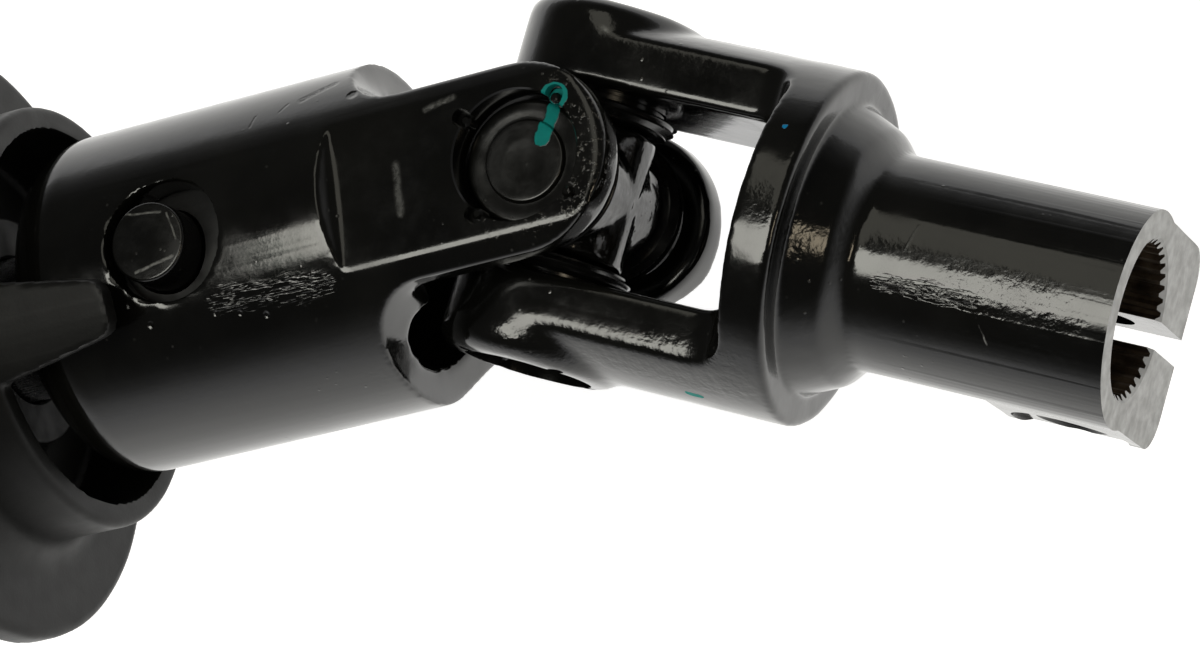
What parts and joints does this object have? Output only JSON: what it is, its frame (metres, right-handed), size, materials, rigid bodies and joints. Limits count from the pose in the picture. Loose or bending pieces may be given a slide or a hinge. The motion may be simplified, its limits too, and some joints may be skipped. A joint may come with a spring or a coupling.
{
  "type": "steering shaft",
  "caption": "Steering shaft with a cross joint, a serrated clamp yoke, a slotted isolator tube, a rubber dash seal and a telescopic slide.",
  "frame": {"origin": "centre of the seal flange's seating face, on the shaft's axis", "axes": "+X along the shaft to the universal joint, +Z along the tube yoke's bearing axis"},
  "size_m": [0.3455, 0.0835, 0.0806],
  "materials": {
    "gloss_black_paint": "thick gloss black paint over forged and drawn steel",
    "ground_steel": "ground bearing and shaft steel",
    "dark_steel": "oiled dark steel",
    "seal_rubber": "matte moulded rubber",
    "black_rubber": "soft black rubber",
    "nylon": "natural plastic"
  },
  "bodies": {
    "dash": {"dash_seal": "seal_rubber", "shaft_bush": "nylon"},
    "shaft": {"inner_shaft": "ground_steel", "stop_pin": "dark_steel", "isolator_bush": "black_rubber"},
    "housing": {"tube_yoke": "gloss_black_paint", "tube_cup_a": "ground_steel", "tube_cup_b": "ground_steel", "tube_needles_a": "ground_steel", "tube_needles_b": "ground_steel", "tube_seal_a": "black_rubber", "tube_seal_b": "black_rubber"},
    "cross": {"cross": "gloss_black_paint"},
    "clamp": {"clamp_yoke": "gloss_black_paint", "clamp_cup_a": "ground_steel", "clamp_cup_b": "ground_steel", "clamp_needles_a": "ground_steel", "clamp_needles_b": "ground_steel", "clamp_seal_a": "black_rubber", "clamp_seal_b": "black_rubber"},
    "sleeve": {"slide_sleeve": "gloss_black_paint", "slide_wiper": "black_rubber", "coupler": "gloss_black_paint"}
  },
  "joints": [
    {"name": "shaft_spin", "type": "hinge", "parent": "dash", "child": "shaft", "pos_m": [0, 0, 0], "axis": [1, 0, 0], "continuous": true},
    {"name": "isolator_twist", "type": "hinge", "parent": "shaft", "child": "housing", "pos_m": [0.03835, 0, 0], "axis": [1, 0, 0], "range_deg": [-3.5, 3.5], "stiffness_Nm_per_rad": 120},
    {"name": "tube_yoke_hinge", "type": "hinge", "parent": "housing", "child": "cross", "pos_m": [0.0875, 0, 0], "axis": [0, 0, 1], "range_deg": [-1, 50.5]},
    {"name": "clamp_yoke_hinge", "type": "hinge", "parent": "cross", "child": "clamp", "pos_m": [0.0875, 0, 0], "axis": [0.421, 0.907, 0], "range_deg": [-30, 24]},
    {"name": "shaft_slide", "type": "slide", "parent": "shaft", "child": "sleeve", "axis": [1, 0, 0], "range_m": [-0.025, 0.015]}
  ]
}
